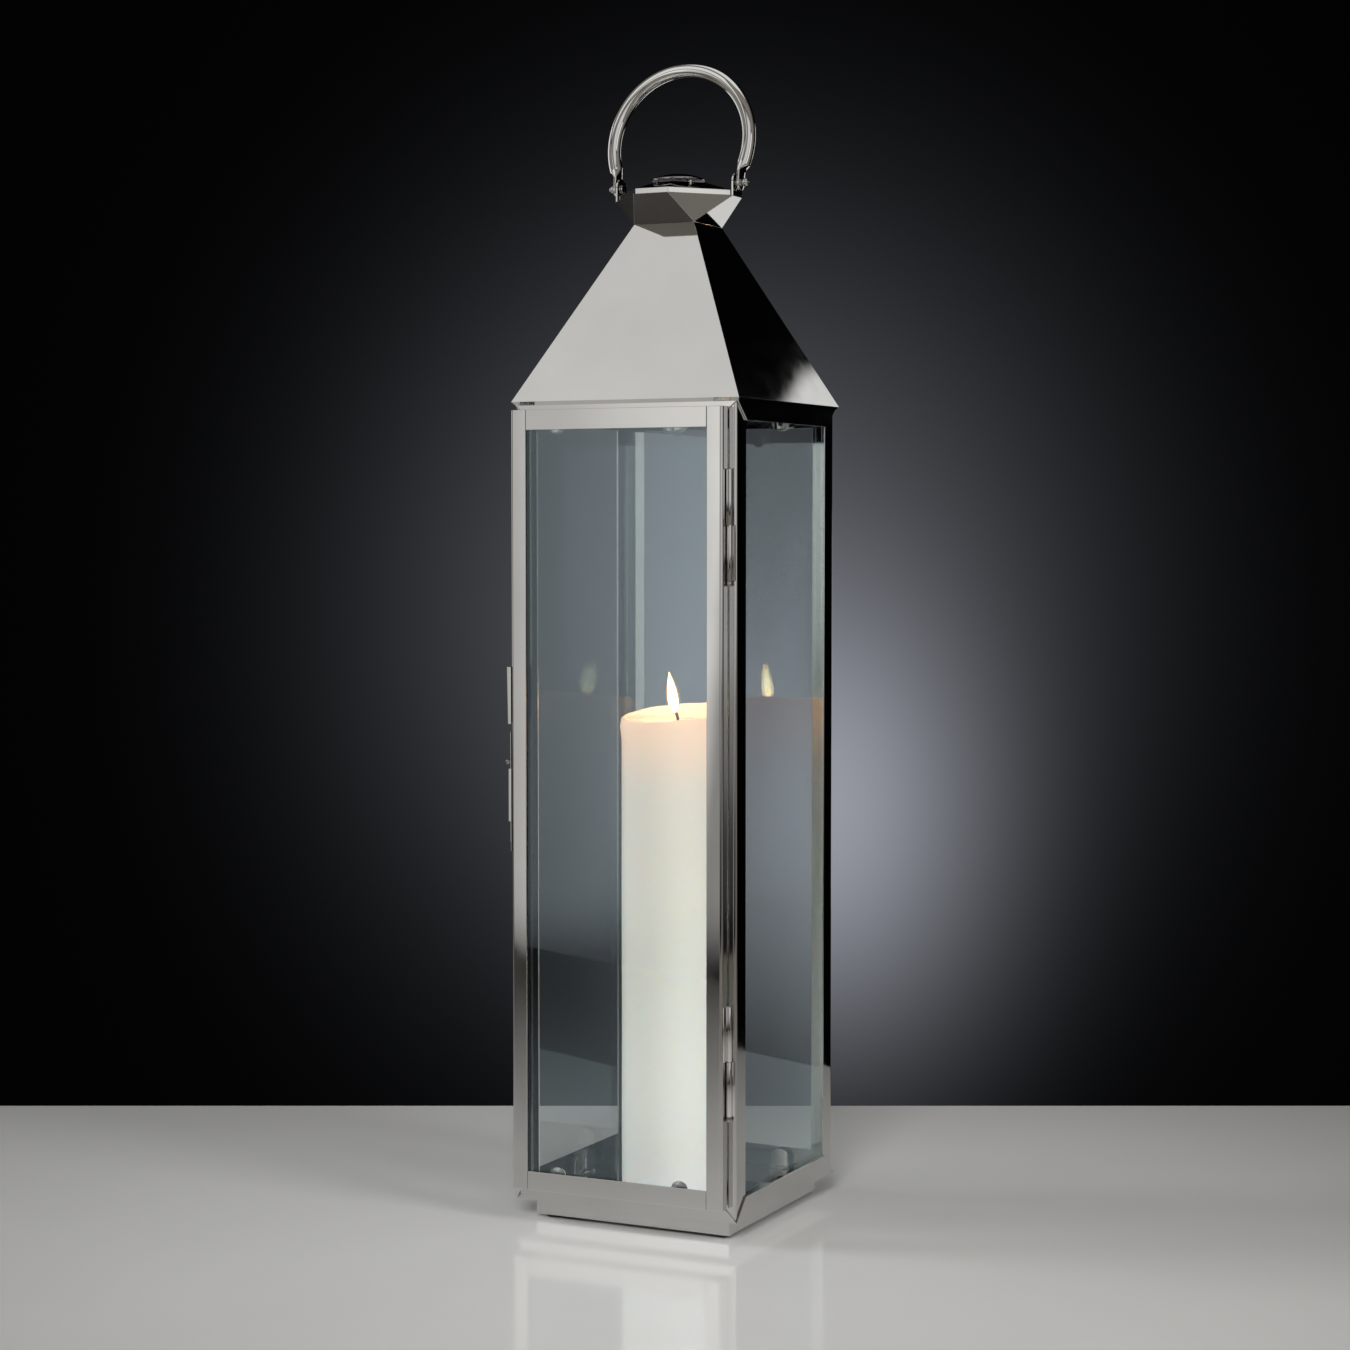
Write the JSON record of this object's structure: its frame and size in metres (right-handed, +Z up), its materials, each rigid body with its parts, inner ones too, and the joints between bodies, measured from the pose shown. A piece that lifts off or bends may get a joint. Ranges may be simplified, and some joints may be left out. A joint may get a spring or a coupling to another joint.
{
  "type": "candle lantern",
  "caption": "Tall square lantern of polished sheet steel with glass sides, a hinged glazed door, a pyramid roof with a flared crown, a ring handle and a pillar candle.",
  "frame": {"origin": "on the floor, under the middle of the lantern's square body", "axes": "+Z up; -Y is the front with the door; +X is the hinge side and -X the latch side"},
  "size_m": [0.219, 0.2228, 1.0048],
  "materials": {
    "polished_steel": "mirror polished stainless steel sheet and bar",
    "trim_steel": "polished steel trim, a shade darker than the sheet",
    "pane_glass": "clear float glass with a faint blue grey cast",
    "candle_wax": "ivory paraffin wax, smooth and slightly waxy",
    "wick_cotton": "burnt braided cotton",
    "foot_rubber": "matt black rubber"
  },
  "bodies": {
    "lantern": {"base_tray": "polished_steel", "plinth": "polished_steel", "foot_front_left": "foot_rubber", "foot_front_right": "foot_rubber", "foot_back_left": "foot_rubber", "foot_back_right": "foot_rubber", "post_front_left": "polished_steel", "post_front_right": "polished_steel", "post_back_left": "polished_steel", "post_back_right": "polished_steel", "top_ring": "polished_steel", "roof": "polished_steel", "crown": "polished_steel", "crown_lid": "polished_steel", "vent_spacer_1": "polished_steel", "vent_spacer_2": "polished_steel", "vent_spacer_3": "polished_steel", "vent_dome": "trim_steel", "handle_pin_left": "polished_steel", "handle_pin_right": "polished_steel", "glass_left": "pane_glass", "glass_right": "pane_glass", "glass_back": "pane_glass", "clip_left_bottom": "polished_steel", "clip_left_top": "polished_steel", "clip_right_bottom": "polished_steel", "clip_right_top": "polished_steel", "clip_back_left_bottom": "polished_steel", "clip_back_left_top": "polished_steel", "clip_back_right_bottom": "polished_steel", "clip_back_right_top": "polished_steel", "hinge_upper_post_leaf": "polished_steel", "hinge_upper_pin": "trim_steel", "hinge_lower_post_leaf": "polished_steel", "hinge_lower_pin": "trim_steel", "latch_keeper": "polished_steel"},
    "door": {"door_stile_left": "polished_steel", "door_stile_right": "polished_steel", "door_rail_top": "polished_steel", "door_rail_bottom": "polished_steel", "door_glass": "pane_glass", "door_clip_top_left": "polished_steel", "door_clip_top_right": "polished_steel", "door_clip_bottom_left": "polished_steel", "door_clip_bottom_right": "polished_steel", "hinge_upper_door_leaf": "polished_steel", "hinge_lower_door_leaf": "polished_steel", "latch_housing": "polished_steel"},
    "latch": {"latch_bolt": "polished_steel", "latch_knob": "trim_steel"},
    "handle": {"handle": "polished_steel"},
    "candle": {"candle": "candle_wax", "wick": "wick_cotton"}
  },
  "joints": [
    {"name": "door_swing", "type": "hinge", "parent": "lantern", "child": "door", "pos_m": [0.0989, -0.1072, 0.35], "axis": [0, 0, 1], "range_deg": [0, 110]},
    {"name": "latch_slide", "type": "slide", "parent": "door", "child": "latch", "axis": [0, 0, 1], "range_m": [0, 0.028]},
    {"name": "handle_swing", "type": "hinge", "parent": "lantern", "child": "handle", "pos_m": [0, 0, 0.8975], "axis": [1, 0, 0], "range_deg": [-105, 121]},
    {"name": "candle_lift", "type": "slide", "parent": "lantern", "child": "candle", "axis": [0, 0, 1], "range_m": [0, 0.2]}
  ]
}
